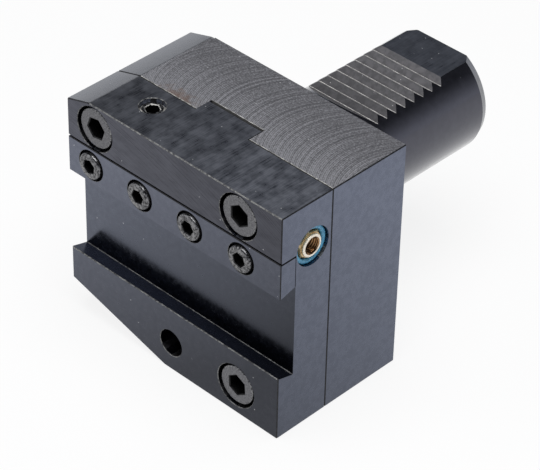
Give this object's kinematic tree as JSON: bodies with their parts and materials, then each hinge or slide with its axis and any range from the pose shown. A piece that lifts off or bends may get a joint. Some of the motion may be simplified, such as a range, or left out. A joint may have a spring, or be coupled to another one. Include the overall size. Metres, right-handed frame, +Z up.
{
  "type": "parting tool holder",
  "caption": "Black steel parting blade holder with a toothed cylindrical shank, a height-adjustable carrier plate, a screwed clamping jaw and a brass coolant outlet.",
  "frame": {"origin": "where the shank axis meets the flange face", "axes": "+Y along the shank away from the blade, +Z up towards the height screw, +X right seen from the blade side"},
  "size_m": [0.086, 0.1139, 0.0789],
  "materials": {
    "blackened_steel": "black oxide on milled and ground steel, semi-gloss",
    "screw_steel": "black oxide, worn lighter on the heads",
    "ground_steel": "ground bright",
    "turned_brass": "turned, bright",
    "blue_seal": "smooth blue",
    "black_rubber": "smooth black"
  },
  "bodies": {
    "holder": {"base_body": "blackened_steel", "shank_seal_ring": "black_rubber", "coolant_face_seal": "black_rubber", "height_stop_pin": "ground_steel"},
    "blade_carrier": {"carrier": "blackened_steel", "coolant_fitting": "turned_brass", "fitting_seal_ring": "blue_seal"},
    "jaw": {"clamp_jaw": "blackened_steel"},
    "height_screw": {"height_screw": "screw_steel"},
    "carrier_bolt_upper_left": {"carrier_bolt_upper_left": "screw_steel"},
    "carrier_bolt_upper_right": {"carrier_bolt_upper_right": "screw_steel"},
    "carrier_bolt_lower_right": {"carrier_bolt_lower_right": "screw_steel"},
    "clamp_screw_1": {"clamp_screw_1": "screw_steel"},
    "clamp_screw_2": {"clamp_screw_2": "screw_steel"},
    "clamp_screw_3": {"clamp_screw_3": "screw_steel"},
    "clamp_screw_4": {"clamp_screw_4": "screw_steel"}
  },
  "joints": [
    {"name": "carrier_height", "type": "slide", "parent": "holder", "child": "blade_carrier", "axis": [0, 0, 1], "range_m": [-0.0006, 0.0006]},
    {"name": "jaw_release", "type": "slide", "parent": "blade_carrier", "child": "jaw", "axis": [0, -1, 0], "range_m": [0, 0.0015]},
    {"name": "height_screw_turn", "type": "hinge", "parent": "holder", "child": "height_screw", "pos_m": [-0.0219, -0.0379, 0.0304], "axis": [0, 0, 1], "range_deg": [-173, 173]},
    {"name": "carrier_bolt_upper_left_turn", "type": "hinge", "parent": "holder", "child": "carrier_bolt_upper_left", "pos_m": [-0.0333, -0.05, 0.02235], "axis": [0, -1, 0], "range_deg": [0, 180]},
    {"name": "carrier_bolt_upper_right_turn", "type": "hinge", "parent": "holder", "child": "carrier_bolt_upper_right", "pos_m": [0.0245, -0.05, 0.02235], "axis": [0, -1, 0], "range_deg": [0, 180]},
    {"name": "carrier_bolt_lower_right_turn", "type": "hinge", "parent": "holder", "child": "carrier_bolt_lower_right", "pos_m": [0.0245, -0.05, -0.0386], "axis": [0, -1, 0], "range_deg": [0, 180]},
    {"name": "clamp_screw_1_turn", "type": "hinge", "parent": "jaw", "child": "clamp_screw_1", "pos_m": [-0.03525, -0.05, 0.00855], "axis": [0, -1, 0], "range_deg": [0, 676]},
    {"name": "clamp_screw_2_turn", "type": "hinge", "parent": "jaw", "child": "clamp_screw_2", "pos_m": [-0.0149, -0.05, 0.00855], "axis": [0, -1, 0], "range_deg": [0, 676]},
    {"name": "clamp_screw_3_turn", "type": "hinge", "parent": "jaw", "child": "clamp_screw_3", "pos_m": [0.00545, -0.05, 0.00855], "axis": [0, -1, 0], "range_deg": [0, 676]},
    {"name": "clamp_screw_4_turn", "type": "hinge", "parent": "jaw", "child": "clamp_screw_4", "pos_m": [0.0258, -0.05, 0.00855], "axis": [0, -1, 0], "range_deg": [0, 676]}
  ],
  "couplings": [
    {"joint": "height_screw_turn", "follows": "carrier_height", "rad_per_m": -5026.5},
    {"joint": "clamp_screw_1_turn", "follows": "jaw_release", "rad_per_m": 7854},
    {"joint": "clamp_screw_2_turn", "follows": "jaw_release", "rad_per_m": 7854},
    {"joint": "clamp_screw_3_turn", "follows": "jaw_release", "rad_per_m": 7854},
    {"joint": "clamp_screw_4_turn", "follows": "jaw_release", "rad_per_m": 7854}
  ]
}
